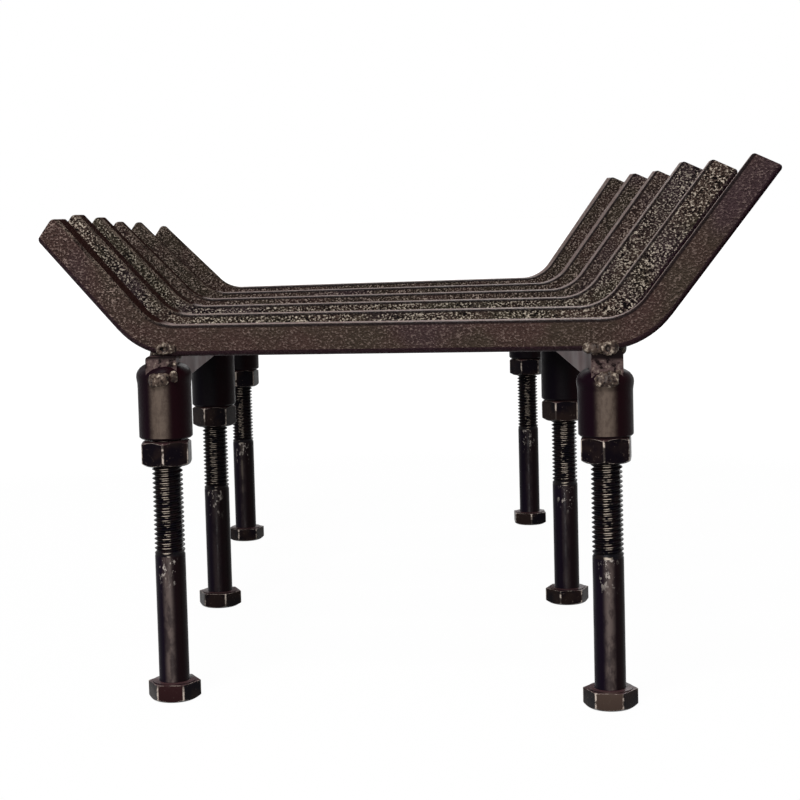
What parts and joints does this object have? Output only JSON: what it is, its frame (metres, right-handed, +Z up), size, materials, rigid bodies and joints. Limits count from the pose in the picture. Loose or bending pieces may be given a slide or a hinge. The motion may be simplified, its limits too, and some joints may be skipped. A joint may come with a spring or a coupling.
{
  "type": "log_grate",
  "caption": "Steel fireplace log grate: fanned square bars bent up at both ends, welded to crossbars that stand on screw-adjustable hex bolt legs",
  "frame": {"origin": "centre of the outer box in plan, at the level of the hearth", "axes": "X runs along the bars with +X towards the taller arms and the wider end, +Y points away from the front bar towards the back, and +Z is up"},
  "size_m": [0.3069, 0.4648, 0.2224],
  "materials": {
    "bars": "heat-resistant dark brown coating over hammered, pitted steel",
    "sleeves": "satin dark brown coating over smooth steel",
    "nuts": "semi-gloss near-black, worn bright on the corners",
    "bolts": "gloss near-black, worn to bare metal on the edges of the heads",
    "welds": "lumpy weld metal, thinly coated"
  },
  "bodies": {
    "grate": {"bar_1": "bars", "bar_2": "bars", "bar_3": "bars", "bar_4": "bars", "bar_5": "bars", "bar_6": "bars", "crossbar_left": "bars", "crossbar_right": "bars", "sleeve_front_left": "sleeves", "sleeve_middle_left": "sleeves", "sleeve_back_left": "sleeves", "sleeve_front_right": "sleeves", "sleeve_middle_right": "sleeves", "sleeve_back_right": "sleeves", "bar_welds_left": "welds", "bar_welds_right": "welds", "sleeve_welds_left": "welds", "sleeve_welds_right": "welds"},
    "leg_bolt_front_left": {"leg_bolt_front_left": "bolts"},
    "lock_nut_front_left": {"lock_nut_front_left": "nuts"},
    "leg_bolt_middle_left": {"leg_bolt_middle_left": "bolts"},
    "lock_nut_middle_left": {"lock_nut_middle_left": "nuts"},
    "leg_bolt_back_left": {"leg_bolt_back_left": "bolts"},
    "lock_nut_back_left": {"lock_nut_back_left": "nuts"},
    "leg_bolt_front_right": {"leg_bolt_front_right": "bolts"},
    "lock_nut_front_right": {"lock_nut_front_right": "nuts"},
    "leg_bolt_middle_right": {"leg_bolt_middle_right": "bolts"},
    "lock_nut_middle_right": {"lock_nut_middle_right": "nuts"},
    "leg_bolt_back_right": {"leg_bolt_back_right": "bolts"},
    "lock_nut_back_right": {"lock_nut_back_right": "nuts"}
  },
  "joints": [
    {"name": "leg_bolt_front_left_screw", "type": "slide", "parent": "grate", "child": "leg_bolt_front_left", "axis": [0, 0, 1], "range_m": [-0.0059, 0.009]},
    {"name": "lock_nut_front_left_screw", "type": "slide", "parent": "grate", "child": "lock_nut_front_left", "axis": [0, 0, 1], "range_m": [-0.025, 0.0008]},
    {"name": "leg_bolt_middle_left_screw", "type": "slide", "parent": "grate", "child": "leg_bolt_middle_left", "axis": [0, 0, 1], "range_m": [-0.0115, 0.009]},
    {"name": "lock_nut_middle_left_screw", "type": "slide", "parent": "grate", "child": "lock_nut_middle_left", "axis": [0, 0, 1], "range_m": [-0.025, 0]},
    {"name": "leg_bolt_back_left_screw", "type": "slide", "parent": "grate", "child": "leg_bolt_back_left", "axis": [0, 0, 1], "range_m": [-0.0095, 0.009]},
    {"name": "lock_nut_back_left_screw", "type": "slide", "parent": "grate", "child": "lock_nut_back_left", "axis": [0, 0, 1], "range_m": [-0.025, 0]},
    {"name": "leg_bolt_front_right_screw", "type": "slide", "parent": "grate", "child": "leg_bolt_front_right", "axis": [0, 0, 1], "range_m": [-0.0059, 0.009]},
    {"name": "lock_nut_front_right_screw", "type": "slide", "parent": "grate", "child": "lock_nut_front_right", "axis": [0, 0, 1], "range_m": [-0.025, 0]},
    {"name": "leg_bolt_middle_right_screw", "type": "slide", "parent": "grate", "child": "leg_bolt_middle_right", "axis": [0, 0, 1], "range_m": [-0.0115, 0.009]},
    {"name": "lock_nut_middle_right_screw", "type": "slide", "parent": "grate", "child": "lock_nut_middle_right", "axis": [0, 0, 1], "range_m": [-0.025, 0]},
    {"name": "leg_bolt_back_right_screw", "type": "slide", "parent": "grate", "child": "leg_bolt_back_right", "axis": [0, 0, 1], "range_m": [-0.0095, 0.009]},
    {"name": "lock_nut_back_right_screw", "type": "slide", "parent": "grate", "child": "lock_nut_back_right", "axis": [0, 0, 1], "range_m": [-0.025, 0]}
  ]
}
